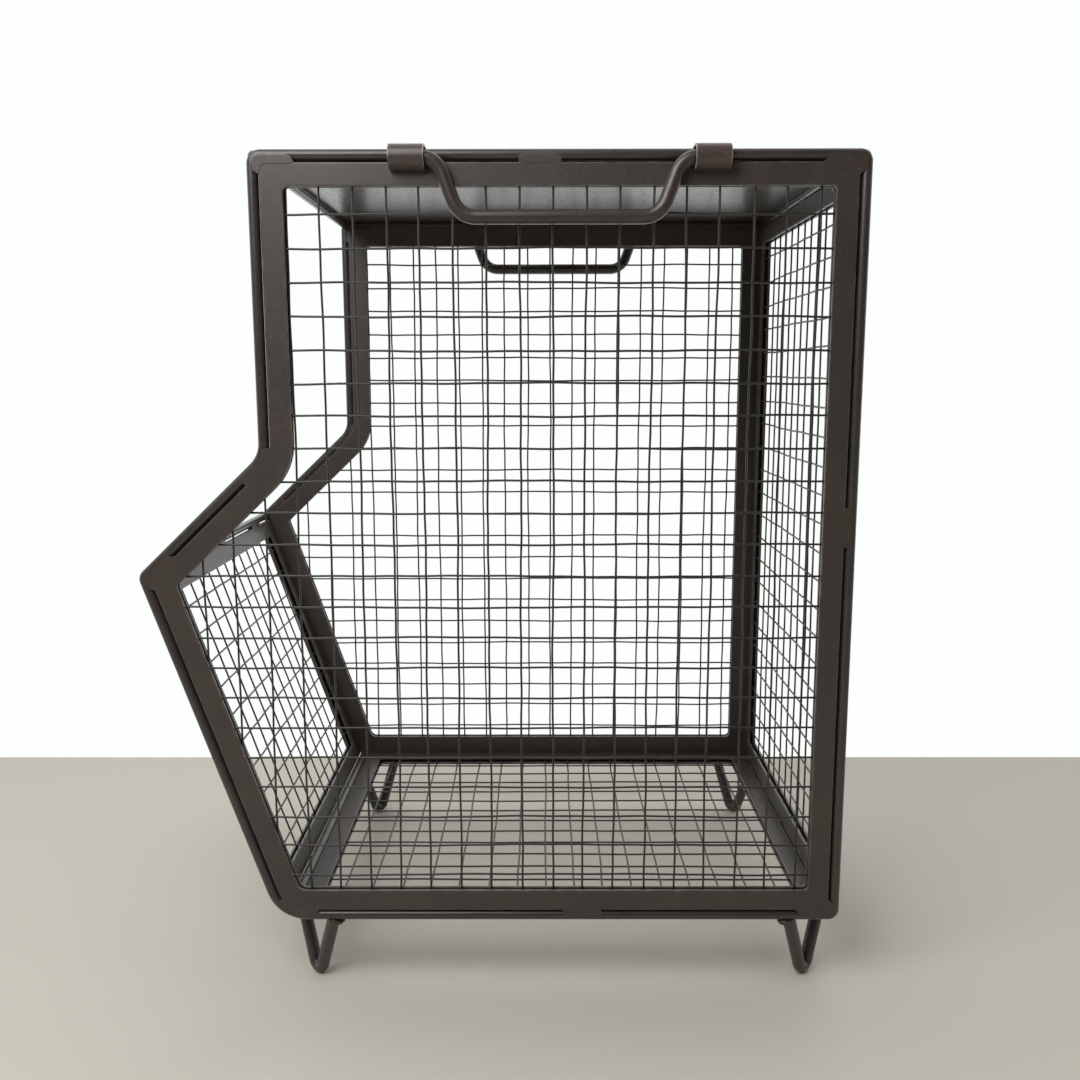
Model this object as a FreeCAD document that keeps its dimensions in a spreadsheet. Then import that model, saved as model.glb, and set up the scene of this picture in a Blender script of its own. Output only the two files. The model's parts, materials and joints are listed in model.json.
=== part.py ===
import FreeCAD, Part
import math
import os
import Sketcher

# Scoop-front storage bin: two round-rod side frames with flat strips welded inside them, joined
# by cross rods, clad with welded wire mesh and a sheet top, standing on four hairpin feet, with
# a drop handle in a pair of strap clips on each side.  +X right, +Y back, +Z up, millimetres.
# The side outline is worked out as (y, z) from the lower front corner, then moved so that the
# origin is under the middle of the bin, on the surface that the feet stand on.

SIZES = [
    ("body_width", 290.0, "outside width over the two side frames"),
    ("body_depth", 354.0, "side frame depth behind the front edge"),
    ("body_height", 466.0, "side frame height, without the feet"),
    ("scoop_reach", 76.0, "how far the lip stands in front of the front edge"),
    ("lip_height", 221.0, "height of the lip's corner"),
    ("bend_height", 293.5, "height where the front edge bends out to the lip"),
    ("sharp_radius", 7.0, "outside radius of the lip and back corners"),
    ("brow_radius", 8.0, "outside radius of the upper front corner"),
    ("toe_radius", 26.0, "outside radius of the lower front corner"),
    ("bend_radius", 17.0, "outside radius of the hollow bend"),
    ("rod_dia", 6.4, "frame rod"),
    ("slot_gap", 1.2, "slot between a rod and the strip beside it"),
    ("inner_gap", 0.3, "between a rim rod and its inner strip, which closes the slot behind"),
    ("toe_gap", 0.15, "between the lower front cross rod and the strips beside it"),
    ("strip_width", 13.0, "flat strip"),
    ("strip_thick", 2.0, "flat strip"),
    ("inner_corner", 3.0, "smallest radius inside a strip frame's corner"),
    ("wire_dia", 1.3, "mesh wire"),
    ("mesh_pitch", 19.05, "mesh opening plus one wire"),
    ("wire_end_gap", 2.5, "from a wire's end to the strip's outer edge"),
    ("back_margin", 7.5, "back strip to the nearest upright wire of a side"),
    ("floor_margin", 9.8, "bottom strip to the nearest level wire of a side"),
    ("sheet_thick", 1.0, "top sheet"),
    ("toe_setback", 8.0, "lower front cross rod behind the front edge"),
    ("weld_length", 24.0, "ground weld in the middle of a long slot"),
    ("weld_place", 0.54, "share of a long side before the middle of its weld"),
    ("corner_weld", 20.0, "weld from a corner along its level or slanted side"),
    ("weld_rise", 6.5, "weld from a corner along its other side"),
    ("weld_sink", 0.4, "weld surface below the strip's face"),
    ("handle_dia", 8.2, "drop handle rod"),
    ("handle_drop", 32.5, "pivot to grip"),
    ("handle_bend", 14.0, "bend radius of the handle's centre line"),
    ("grip_half", 56.8, "middle of the grip to its bend's corner"),
    ("shoulder_half", 68.6, "middle of the grip to the upper bend's corner"),
    ("clip_half", 85.4, "middle of the side to a clip's middle"),
    ("clip_width", 20.0, "strap clip, along the rim"),
    ("clip_thick", 1.3, "strap clip"),
    ("clip_play", 1.6, "between the handle's end and its clip"),
    ("clip_tab", 5.0, "clip's flat tab on top of the rim rod, in from the side"),
    ("handle_end_gap", 1.4, "from a handle's end back to its clip's outer edge"),
    ("side_gap", 0.5, "between the hanging handle and the side strip"),
    ("foot_dia", 8.2, "hairpin foot rod"),
    ("foot_height", 44.5, "ground to the side frame's lower edge"),
    ("foot_spread", 27.0, "corner to each leg's top, along each edge"),
    ("foot_bend", 4.6, "bend radius of a foot's centre line"),
    ("foot_cope", 0.6, "leg top above the frame's lower edge"),
]

doc = FreeCAD.newDocument("scoop_bin")
sheet = doc.addObject("Spreadsheet::Sheet", "Sizes")
for row, (alias, value, note) in enumerate(SIZES, start=1):
    sheet.set(f"A{row}", note)
    sheet.set(f"B{row}", str(value))
    sheet.setAlias(f"B{row}", alias)
doc.recompute()


def size(alias):
    """A driving dimension, read back from the sheet."""
    return float(sheet.get(alias))


def vec(*xyz):
    return FreeCAD.Vector(*xyz)


width = size("body_width")
depth = size("body_depth")
height = size("body_height")
rod = size("rod_dia")
rod_r = rod / 2
wire = size("wire_dia")
pitch = size("mesh_pitch")
strip = size("strip_width")
strip_t = size("strip_thick")
strip_edge = rod + size("slot_gap")
inner_edge = rod + size("inner_gap")
opening_edge = strip_edge + strip
foot_r = size("foot_dia") / 2
handle_r = size("handle_dia") / 2
TOE, HEEL, CROWN, BROW, BEND, LIP = range(6)
SHARP = size("sharp_radius")


# --- the side outline ------------------------------------------------------------------------

def side_corners():
    """Outer corners of the side outline, anticlockwise from the lower front one."""
    return [
        vec(0, 0),
        vec(depth, 0),
        vec(depth, height),
        vec(0, height),
        vec(0, size("bend_height")),
        vec(-size("scoop_reach"), size("lip_height")),
    ]


def inset(corners, distance):
    """Corners of a closed anticlockwise outline after every side moves inwards by distance."""
    moved = []
    for index, corner in enumerate(corners):
        along_in = (corner - corners[index - 1]).normalize()
        along_out = (corners[(index + 1) % len(corners)] - corner).normalize()
        normal_in = vec(-along_in.y, along_in.x)
        normal_out = vec(-along_out.y, along_out.x)
        moved.append(corner + (normal_in + normal_out) * (distance / (1 + normal_in.dot(normal_out))))
    return moved


def side_radii(distance, smallest):
    """Corner radii of the side outline at a distance inside it: the hollow bend's one grows."""
    outer = [size("toe_radius"), SHARP, SHARP, size("brow_radius"), size("bend_radius"), SHARP]
    radii = [max(radius - distance, smallest) for radius in outer]
    radii[BEND] = outer[BEND] + distance
    return radii


def rounded(corners, radii, closed=True):
    """Lines and tangent arcs along the corners, an arc at each corner that has a radius."""
    count = len(corners)
    curves = []
    turns = []
    for index, corner in enumerate(corners):
        if not closed and index in (0, count - 1):
            turns.append((corner, None, corner))
            continue
        back = (corners[index - 1] - corner).normalize()
        ahead = (corners[(index + 1) % count] - corner).normalize()
        half = back.getAngle(ahead) / 2
        reach = radii[index] / math.tan(half)
        centre = corner + (back + ahead).normalize() * (radii[index] / math.sin(half))
        middle = centre + (corner - centre).normalize() * radii[index]
        turns.append((corner + back * reach, middle, corner + ahead * reach))
    for index, (start, middle, end) in enumerate(turns):
        if middle is not None:
            curves.append(Part.Arc(start, middle, end))
        if closed or index < count - 1:
            curves.append(Part.LineSegment(end, turns[(index + 1) % count][0]))
    return curves


def arc_point(corner_index, distance, y):
    """Point at y on the lower arc of the side outline's corner, at a distance inside it."""
    radius = side_radii(distance, 0)[corner_index]
    centre = inset(side_corners(), size("toe_radius"))[corner_index]
    return vec(y, centre.y - math.sqrt(radius ** 2 - (y - centre.x) ** 2))


outline = side_corners()
rod_line = inset(outline, rod_r)
lip_centre = inset(outline, SHARP)[LIP]
front_y = -(depth + lip_centre.x - SHARP) / 2
base_z = size("foot_height")
frame_base = vec(0, front_y, base_z)
toe_rod = arc_point(TOE, rod_r, size("toe_setback"))
cross_rods = {
    "top_front_rod": rod_line[BROW],
    "top_back_rod": rod_line[CROWN],
    "bottom_back_rod": rod_line[HEEL],
    "bottom_front_rod": toe_rod,
    "lip_rod": rod_line[LIP],
}


# --- helpers that make document objects ------------------------------------------------------

def new_body(name):
    body = doc.addObject("PartDesign::Body", name)
    body.Label = name
    return body


def sketch_on(body, name, role, curves):
    """Sketch of the given curves on one of the body's own origin planes."""
    sketch = body.newObject("Sketcher::SketchObject", f"{body.Name}_{name}")
    plane = next(item for item in body.Origin.OriginFeatures if item.Role == role)
    sketch.AttachmentSupport = [(plane, "")]
    sketch.MapMode = "FlatFace"
    sketch.addGeometry(curves, False)
    return sketch


def pad_body(name, role, curves, length, midplane=False):
    """Body padded from one sketch, its length bound to an expression."""
    body = new_body(name)
    profile = sketch_on(body, "outline", role, curves)
    pad = body.newObject("PartDesign::Pad", f"{body.Name}_pad")
    pad.Profile = profile
    pad.Midplane = midplane
    pad.setExpression("Length", length)
    profile.Visibility = False
    return body


def bent_rod(name, curves, start, diameter):
    """Body of a round rod bent along curves in its own YZ plane, which start at `start` along Y."""
    body = new_body(name)
    path = sketch_on(body, "path", "YZ_Plane", curves)
    end_circle = Part.Circle(vec(0, start.y), vec(0, 0, 1), 1.0)
    section = sketch_on(body, "section", "XZ_Plane", [end_circle])
    section.AttachmentOffset = FreeCAD.Placement(vec(0, 0, -start.x), FreeCAD.Rotation())
    section.addConstraint(Sketcher.Constraint("Radius", 0, 1.0))
    section.setExpression("Constraints[0]", f"Sizes.{diameter} / 2")
    pipe = body.newObject("PartDesign::AdditivePipe", f"{body.Name}_pipe")
    pipe.Profile = section
    pipe.Spine = (path, [])
    pipe.Mode = "Frenet"
    return body


def place(item, x_expression, base, rotation=FreeCAD.Rotation()):
    """Put an object at its base, with its x bound to the sheet."""
    item.Placement = FreeCAD.Placement(base, rotation)
    item.setExpression("Placement.Base.x", x_expression)
    if base.z == base_z:
        item.setExpression("Placement.Base.z", "Sizes.foot_height")


def shape_feature(name, shape, base):
    item = doc.addObject("Part::Feature", name)
    item.Label = name
    item.Shape = shape
    item.Placement = FreeCAD.Placement(base, FreeCAD.Rotation())
    return item


def wire_between(start, end):
    """One straight mesh wire."""
    run = end - start
    return Part.makeCylinder(wire / 2, run.Length, start, run)


# --- side frames -----------------------------------------------------------------------------

def ring(outer_distance, inner_distance):
    """Curves of the band between two distances inside the side outline."""
    smallest = size("inner_corner")
    outer = rounded(inset(outline, outer_distance), side_radii(outer_distance, smallest))
    inner = rounded(inset(outline, inner_distance), side_radii(inner_distance, smallest))
    return outer + inner


def side_limits(distance):
    """Functions for the side outline's front edge at a height, and its lower and upper edges at a
    depth, all at a distance inside it."""
    corners = inset(outline, distance)

    def front(z):
        if z >= corners[BEND].y:
            return corners[BEND].x
        ends = (corners[TOE], corners[LIP]) if z <= corners[LIP].y else (corners[LIP], corners[BEND])
        share = (z - ends[0].y) / (ends[1].y - ends[0].y)
        return ends[0].x + share * (ends[1].x - ends[0].x)

    def lower(y):
        if y >= corners[TOE].x:
            return corners[TOE].y
        share = (y - corners[TOE].x) / (corners[LIP].x - corners[TOE].x)
        return corners[TOE].y + share * (corners[LIP].y - corners[TOE].y)

    def upper(y):
        if y >= corners[BEND].x:
            return corners[BROW].y
        share = (y - corners[LIP].x) / (corners[BEND].x - corners[LIP].x)
        return corners[LIP].y + share * (corners[BEND].y - corners[LIP].y)

    return front, lower, upper, corners


def side_mesh(sign):
    """Level wires outside and upright wires inside, caught between the two strip frames."""
    end = strip_edge + size("wire_end_gap")
    front, lower, upper, corners = side_limits(end)
    face = width / 2 - strip_t
    level_x = sign * (face - wire / 2)
    upright_x = sign * (face - 1.5 * wire)
    wires = []
    z = opening_edge + size("floor_margin")
    while z < height - opening_edge:
        wires.append(wire_between(vec(level_x, front(z), z), vec(level_x, corners[HEEL].x, z)))
        z += pitch
    y = depth - opening_edge - size("back_margin")
    while upper(y) - lower(y) > pitch:
        wires.append(wire_between(vec(upright_x, y, lower(y)), vec(upright_x, y, upper(y))))
        y -= pitch
    return Part.makeCompound(wires)


def weld_zone(middle, along, reach, x_low, thick):
    """Box about a point of the slot, reaching both ways along a side."""
    rise = size("weld_rise")
    box = Part.makeBox(thick, 2 * reach, 2 * rise, vec(0, -reach, -rise))
    turn = FreeCAD.Rotation(vec(1, 0, 0), math.degrees(math.atan2(along.y, along.x)))
    box.Placement = FreeCAD.Placement(vec(x_low, middle.x, middle.y), turn)
    return box


def weld_zones(x_low, thick, top_reach):
    """Where the slot is welded shut: once along each long side, and round every corner, furthest
    along the level and slanted sides.  top_reach is half the length of the top side's weld."""
    corners = inset(outline, strip_edge)
    half_weld = size("weld_length") / 2
    zones = []
    for index, reach in ((TOE, half_weld), (HEEL, half_weld), (CROWN, top_reach)):
        run = corners[index + 1] - corners[index]
        middle = corners[index] + run * size("weld_place")
        zones.append(weld_zone(middle, run, reach, x_low, thick))
    for index in (TOE, CROWN, BEND):
        run = corners[index + 1] - corners[index]
        for corner in corners[index:index + 2]:
            zones.append(weld_zone(corner, run, size("corner_weld"), x_low, thick))
    return zones[0].multiFuse(zones[1:])


def side_face(distance):
    """Flat face of the side outline at a distance inside it."""
    curves = rounded(inset(outline, distance), side_radii(distance, size("inner_corner")))
    return Part.Face(Part.Wire([curve.toShape() for curve in curves]))


def frame_welds(cutters, sign):
    """Ground welds that fill the slot between a rim rod and its strips, cut back to the rod and
    the inner strip.  The left frame's top slot is closed from end to end."""
    thick = rod - 2 * size("weld_sink")
    top_reach = size("weld_length") / 2 if sign > 0 else depth
    x_low = sign * (width / 2 - rod_r) - thick / 2
    band = side_face(rod_r).cut(side_face(strip_edge))
    band.Placement = FreeCAD.Placement(vec(x_low, 0, 0), FreeCAD.Rotation(vec(1, 1, 1), 120))
    fill = band.extrude(vec(thick, 0, 0)).common(weld_zones(x_low, thick, top_reach))
    return fill.cut(cutters)


for side, sign in (("right", 1), ("left", -1)):
    minus = "" if sign > 0 else "-"
    rod_curves = rounded(rod_line, side_radii(rod_r, size("inner_corner")))
    first = rod_curves[1]
    rim = bent_rod(f"{side}_rim_rod", rod_curves[1:] + rod_curves[:1], first.StartPoint, "rod_dia")
    place(rim, f"{minus}(Sizes.body_width - Sizes.rod_dia) / 2", frame_base)
    outer = pad_body(f"{side}_outer_strip", "YZ_Plane", ring(strip_edge, opening_edge),
                     "Sizes.strip_thick", True)
    place(outer, f"{minus}(Sizes.body_width - Sizes.strip_thick) / 2", frame_base)
    inner = pad_body(f"{side}_inner_strip", "YZ_Plane", ring(inner_edge, opening_edge),
                     "Sizes.strip_thick", True)
    place(inner, f"{minus}(Sizes.body_width - 3 * Sizes.strip_thick - 4 * Sizes.wire_dia) / 2",
          frame_base)
    shape_feature(f"{side}_mesh", side_mesh(sign), frame_base)


# --- cross rods and top sheet ----------------------------------------------------------------

for name, centre in cross_rods.items():
    bar = doc.addObject("Part::Cylinder", name)
    bar.Label = name
    bar.setExpression("Radius", "Sizes.rod_dia / 2")
    bar.setExpression("Height", "Sizes.body_width - 2 * Sizes.rod_dia")
    place(bar, "Sizes.rod_dia - Sizes.body_width / 2", frame_base + vec(0, centre.x, centre.y),
          FreeCAD.Rotation(vec(0, 1, 0), 90))

sheet_reach = math.sqrt(rod_r ** 2 - (rod_r - size("sheet_thick")) ** 2)
sheet_inset = rod_r + sheet_reach
top = doc.addObject("Part::Box", "top_sheet")
top.Label = "top_sheet"
top.Length = width - 2 * sheet_inset
top.Width = depth - 2 * sheet_inset
top.setExpression("Height", "Sizes.sheet_thick")
top.Placement = FreeCAD.Placement(
    frame_base + vec(sheet_inset - width / 2, sheet_inset, height - size("sheet_thick")),
    FreeCAD.Rotation())


# --- back, floor and scoop panels ------------------------------------------------------------

rod_edge = strip_edge - rod_r
toe_edge = rod_r + size("toe_gap")
WELD_SHARES = (0.15, 0.5, 0.85)


def panel(name, start, toward, low, far_edge, rod_ends):
    """Mesh between two strip frames, as thick as the cross rods that it lies between.  Across the
    bin is the panel's x, from start to toward its y, and its z points into the bin."""
    run = toward - start
    half = width / 2 - strip_edge
    high = run.Length - far_edge
    sides = [vec(-half, low), vec(half, low), vec(half, high), vec(-half, high)]
    corner = size("inner_corner")
    curves = rounded(sides, [corner] * 4)
    curves += rounded(inset(sides, strip), [corner] * 4)
    tilt = FreeCAD.Rotation(vec(1, 0, 0), math.degrees(math.atan2(run.y, run.x)))
    base = frame_base + vec(0, start.x, start.y)
    outer_z = strip_t / 2 - rod_r
    for layer, z in (("outer", outer_z), ("inner", outer_z + strip_t + 2 * wire)):
        frame = pad_body(f"{name}_{layer}_strip", "XY_Plane", curves, "Sizes.strip_thick", True)
        frame.Placement = FreeCAD.Placement(base + tilt.multVec(vec(0, 0, z)), tilt)

    gap = size("wire_end_gap")
    long_z = outer_z + strip_t / 2 + wire / 2
    cross_z = long_z + wire
    wires = []
    for x in centred(2 * (half - strip)):
        wires.append(wire_between(vec(x, low + gap, long_z), vec(x, high - gap, long_z)))
    middle = (low + high) / 2
    for offset in centred(high - low - 2 * strip):
        y = middle + offset
        wires.append(wire_between(vec(gap - half, y, cross_z), vec(half - gap, y, cross_z)))
    mesh = shape_feature(f"{name}_mesh", Part.makeCompound(wires), base)
    mesh.Placement = FreeCAD.Placement(base, tilt)
    panel_welds(name, half, low, high, rod_ends, base, tilt)


def centred(opening):
    """Wire places across an opening, evenly about its middle."""
    count = int((opening - pitch / 2) / pitch) + 1
    return [(index - (count - 1) / 2) * pitch for index in range(count)]


def weld_pad(x, y, x_run, y_run):
    """One weld centred on a point of the panel's plane, between the middles of its two strips."""
    thick = rod - strip_t
    return Part.makeBox(x_run, y_run, thick, vec(x - x_run / 2, y - y_run / 2, -thick / 2))


def panel_welds(name, half, low, high, rod_ends, base, tilt):
    """Small welds that tie a panel's strips to the side frames, and to its cross rods at the
    ends that rod_ends names."""
    gap = size("slot_gap")
    run = size("weld_length")
    pads = []
    for share in WELD_SHARES:
        y = low + share * (high - low)
        x = 2 * half * (share - 0.5)
        for x_side in (-1, 1):
            pads.append(weld_pad(x_side * (half + gap / 2), y, gap, run))
        if "near" in rod_ends:
            pads.append(weld_pad(x, low - gap / 2, run, gap))
        if "far" in rod_ends:
            pads.append(weld_pad(x, high + gap / 2, run, gap))
    item = shape_feature(f"{name}_welds", Part.makeCompound(pads), base)
    item.Placement = FreeCAD.Placement(base, tilt)


panel("floor", vec(toe_rod.x, rod_r), rod_line[HEEL], toe_edge, rod_edge, ["far"])
panel("back", rod_line[HEEL], rod_line[CROWN], rod_edge, rod_edge, ["near", "far"])
slope = (rod_line[TOE] - rod_line[LIP]).normalize()
scoop_end = rod_line[LIP] + slope * slope.dot(toe_rod - rod_line[LIP])
rod_above = toe_rod.distanceToPoint(scoop_end) - 2 * (strip_t + wire) + rod_r
scoop_edge = math.sqrt(max(toe_edge ** 2 - rod_above ** 2, 0))
panel("scoop", rod_line[LIP], scoop_end, rod_edge, scoop_edge, ["near"])


# --- handles and their clips -----------------------------------------------------------------

handle_out = size("side_gap") + handle_r
clip_inner = handle_r + size("clip_play")


def clip_outline():
    """Section across the rim: a tab on the top, a barrel round the handle's end and a tail that
    closes on the side strip."""
    inner = clip_inner
    outer = clip_inner + size("clip_thick")
    tab = -handle_out - size("clip_tab")
    tail = -handle_out
    return [
        Part.LineSegment(vec(tab, inner), vec(tab, outer)),
        Part.LineSegment(vec(tab, outer), vec(0, outer)),
        Part.Arc(vec(0, outer), vec(outer, 0), vec(0, -outer)),
        Part.LineSegment(vec(0, -outer), vec(tail, -outer)),
        Part.LineSegment(vec(tail, -outer), vec(tail, -inner)),
        Part.LineSegment(vec(tail, -inner), vec(0, -inner)),
        Part.Arc(vec(0, -inner), vec(inner, 0), vec(0, inner)),
        Part.LineSegment(vec(0, inner), vec(tab, inner)),
    ]


handle_end = size("clip_half") + size("clip_width") / 2 - size("handle_end_gap")
handle_corners = [
    vec(-handle_end, 0),
    vec(-size("shoulder_half"), 0),
    vec(-size("grip_half"), -size("handle_drop")),
    vec(size("grip_half"), -size("handle_drop")),
    vec(size("shoulder_half"), 0),
    vec(handle_end, 0),
]
pivot_base = frame_base + vec(0, depth / 2, height - clip_inner)
for side, sign in (("right", 1), ("left", -1)):
    minus = "" if sign > 0 else "-"
    out = f"{minus}(Sizes.body_width / 2 + Sizes.side_gap + Sizes.handle_dia / 2)"
    handle = bent_rod(f"{side}_handle", rounded(handle_corners, [size("handle_bend")] * 6, False),
                      handle_corners[0], "handle_dia")
    place(handle, out, pivot_base)
    for end, shift in (("front", -1), ("back", 1)):
        clip = pad_body(f"{side}_{end}_clip", "XZ_Plane", clip_outline(), "Sizes.clip_width", True)
        turned = FreeCAD.Rotation(vec(0, 0, 1), 0 if sign > 0 else 180)
        place(clip, out, pivot_base + vec(0, shift * size("clip_half"), 0), turned)


# --- feet ------------------------------------------------------------------------------------

def foot_path(spread, left_top, right_top):
    """Hairpin in a vertical plane: two straight legs tangent to a small arc at the ground."""
    radius = size("foot_bend")
    centre = vec(0, foot_r + radius - base_z)
    ends = []
    for side, top_z in ((-1, left_top), (1, right_top)):
        top_point = vec(side * spread / 2, top_z)
        offset = top_point - centre
        angle = math.atan2(offset.y, abs(offset.x)) - math.acos(radius / offset.Length)
        tangent = centre + vec(side * radius * math.cos(angle), radius * math.sin(angle))
        ends.append((top_point, tangent))
    (left, left_tangent), (right, right_tangent) = ends
    bottom = centre + vec(0, -radius)
    return [
        Part.LineSegment(left, left_tangent),
        Part.Arc(left_tangent, bottom, right_tangent),
        Part.LineSegment(right_tangent, right),
    ]


def foot(side_leg, cross_leg, cross_top, cutters):
    """Hairpin foot from the rim rod to the cross rod, coped round both and the floor."""
    across = vec(cross_leg.x - side_leg.x, cross_leg.y - side_leg.y)
    curves = foot_path(across.Length, size("foot_cope"), cross_top)
    edges = [curve.toShape() for curve in curves]
    path = Part.Wire(edges)
    start = curves[0].StartPoint
    direction = curves[0].EndPoint - start
    section = Part.Wire(Part.Circle(start, direction, foot_r).toShape())
    solid = path.makePipeShell([section], True, True)
    stand = FreeCAD.Rotation(vec(1, 0, 0), vec(across.x, across.y, 0))
    upright = FreeCAD.Rotation(vec(1, 0, 0), 90)
    solid.Placement = FreeCAD.Placement((side_leg + cross_leg) * 0.5, stand * upright)
    return solid.cut(cutters)


def profile_copy(name):
    """Copy of a finished sub-part's shape, back in the side outline's own place."""
    shape = doc.getObject(name).Shape.copy()
    shape.translate(-frame_base)
    return shape


doc.recompute()
floor_shapes = [profile_copy("floor_outer_strip"), profile_copy("floor_inner_strip")]
for side, sign in (("right", 1), ("left", -1)):
    rim_shape = profile_copy(f"{side}_rim_rod")
    weld_cutters = [rim_shape, profile_copy(f"{side}_inner_strip")]
    shape_feature(f"{side}_frame_welds", frame_welds(weld_cutters, sign), frame_base)
    outer_x = width / 2 - foot_r
    spread = size("foot_spread")
    for end, cross_y, step, rod_z in (("front", toe_rod.x, 1, toe_rod.y),
                                      ("back", depth - foot_r, -1, rod_r)):
        side_leg = vec(sign * outer_x, cross_y + step * spread, 0)
        cross_leg = vec(sign * (outer_x - spread), cross_y, 0)
        cutters = [rim_shape, profile_copy(f"bottom_{end}_rod"), *floor_shapes]
        cope = size("foot_cope") + rod_z - rod_r
        hairpin = foot(side_leg, cross_leg, cope, cutters)
        shape_feature(f"{side}_{end}_foot", hairpin, frame_base)


# --- check and write -------------------------------------------------------------------------

doc.recompute()
for item in doc.Objects:
    if "Invalid" in item.State or "Error" in item.State:
        raise RuntimeError(f"{item.Label} failed: {item.State}")

nodes = [item for item in doc.Objects
         if item.TypeId in ("PartDesign::Body", "Part::Feature", "Part::Cylinder", "Part::Box")]
for item in nodes:
    if item.Shape.isNull() or not item.Shape.isValid():
        raise RuntimeError(f"{item.Label} has no valid shape")

os.makedirs("parts", exist_ok=True)
for item in nodes:
    item.Shape.exportStep(f"parts/{item.Label}.step")
    print(f"{item.Label}: {len(item.Shape.Solids)} solids, {item.Shape.Volume:.0f} mm3")
print(f"{len(nodes)} nodes")
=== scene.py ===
# %% [markdown]
# # A scoop-front storage bin in wire mesh and painted steel
#
# This lesson dresses a finished CAD model.  The real bin is a welded cage.  Two side frames are
# bent from round rod, flat strip is welded inside each rod, wire mesh is caught between the
# strips, and everything is sprayed with one dark bronze enamel.
#
# The CAD model already holds the right sizes, so it is loaded first and never moved.  Round rods
# can stay as they are.  Wires, strips, straps and welds are made again here, because on the real
# bin they wander, have rounded edges and show how they were joined.

# %% Load the frame
import json
import math

import bpy
import numpy as np
from mathutils import Matrix, Vector


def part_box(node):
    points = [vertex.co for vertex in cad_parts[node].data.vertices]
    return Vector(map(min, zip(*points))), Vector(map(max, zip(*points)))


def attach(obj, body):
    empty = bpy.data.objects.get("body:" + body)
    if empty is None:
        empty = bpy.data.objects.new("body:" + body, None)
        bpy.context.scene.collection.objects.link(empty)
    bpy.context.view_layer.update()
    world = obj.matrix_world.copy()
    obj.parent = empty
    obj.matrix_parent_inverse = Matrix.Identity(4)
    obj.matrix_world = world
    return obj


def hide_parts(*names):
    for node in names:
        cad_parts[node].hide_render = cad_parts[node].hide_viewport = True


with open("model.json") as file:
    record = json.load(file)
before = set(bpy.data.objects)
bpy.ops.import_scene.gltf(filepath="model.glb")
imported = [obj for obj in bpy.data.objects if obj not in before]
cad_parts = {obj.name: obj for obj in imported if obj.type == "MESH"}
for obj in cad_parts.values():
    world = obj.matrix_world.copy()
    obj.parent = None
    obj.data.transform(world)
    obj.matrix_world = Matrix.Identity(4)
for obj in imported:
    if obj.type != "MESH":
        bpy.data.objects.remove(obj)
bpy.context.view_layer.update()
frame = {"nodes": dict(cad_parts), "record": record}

MM = 0.001

# %% [markdown]
# ## The sizes that everything follows
#
# Most places can be read from the CAD nodes' boxes.  The rods at the corners give the outline's
# front, back, top and bottom.  Only the sizes that no box shows are written here, and the lip rod
# is used to test them: if the outline is right, its lip corner lands on that rod.

# %% Sizes of the side outline
SCOOP_REACH = 76.0 * MM
LIP_RISE = 221.0 * MM
BEND_RISE = 293.5 * MM
SHARP_RADIUS = 7.0 * MM
BROW_RADIUS = 8.0 * MM
TOE_RADIUS = 26.0 * MM
BEND_RADIUS = 17.0 * MM
TIGHTEST_RADIUS = 3.0 * MM
STRIP_WIDTH = 13.0 * MM
TOE_GAP = 0.15 * MM
WIRE_RADIUS = 0.65 * MM
TOE, HEEL, CROWN, BROW, BEND, LIP = range(6)


def middle(node):
    """The middle of a CAD node's box, as y and z."""
    low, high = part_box(node)
    return np.array([(low.y + high.y) / 2, (low.z + high.z) / 2])


rim_low, rim_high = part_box("right_rim_rod")
strip_low, strip_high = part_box("right_outer_strip")
heel_rod = middle("bottom_back_rod")
crown_rod = middle("top_back_rod")
ROD_RADIUS = (rim_high.x - rim_low.x) / 2
HALF_WIDTH = rim_high.x
STRIP_THICK = strip_high.x - strip_low.x
FRONT_Y = middle("top_front_rod")[0] - ROD_RADIUS
BACK_Y = heel_rod[0] + ROD_RADIUS
BASE_Z = heel_rod[1] - ROD_RADIUS
TOP_Z = crown_rod[1] + ROD_RADIUS
STRIP_EDGE = strip_low.z - BASE_Z
INNER_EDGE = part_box("right_inner_strip")[0].z - BASE_Z
OPENING_EDGE = STRIP_EDGE + STRIP_WIDTH
SLOT_GAP = STRIP_EDGE - 2 * ROD_RADIUS

side_corners = np.array([
    [FRONT_Y, BASE_Z],
    [BACK_Y, BASE_Z],
    [BACK_Y, TOP_Z],
    [FRONT_Y, TOP_Z],
    [FRONT_Y, BASE_Z + BEND_RISE],
    [FRONT_Y - SCOOP_REACH, BASE_Z + LIP_RISE],
])
outer_radii = np.array([TOE_RADIUS, SHARP_RADIUS, SHARP_RADIUS, BROW_RADIUS, BEND_RADIUS,
                        SHARP_RADIUS])
print(f"rod {2 * ROD_RADIUS / MM:.2f} mm, strip {STRIP_WIDTH / MM:.0f} x {STRIP_THICK / MM:.1f} mm, "
      f"slot {SLOT_GAP / MM:.2f} mm")

# %% [markdown]
# ## Moving an outline inwards
#
# The rod, both edges of the strip and the ends of the wires all run beside the same outline, each
# a fixed distance inside it.  One function moves the sides inwards, and another rounds the
# corners.  A corner that turns inwards, such as the bend above the scoop, gets a larger radius
# as the outline moves in, while all the others get smaller.

# %% Outline functions


def unit(vectors):
    """Vectors divided by their own lengths."""
    return vectors / np.linalg.norm(vectors, axis=-1, keepdims=True)


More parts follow.
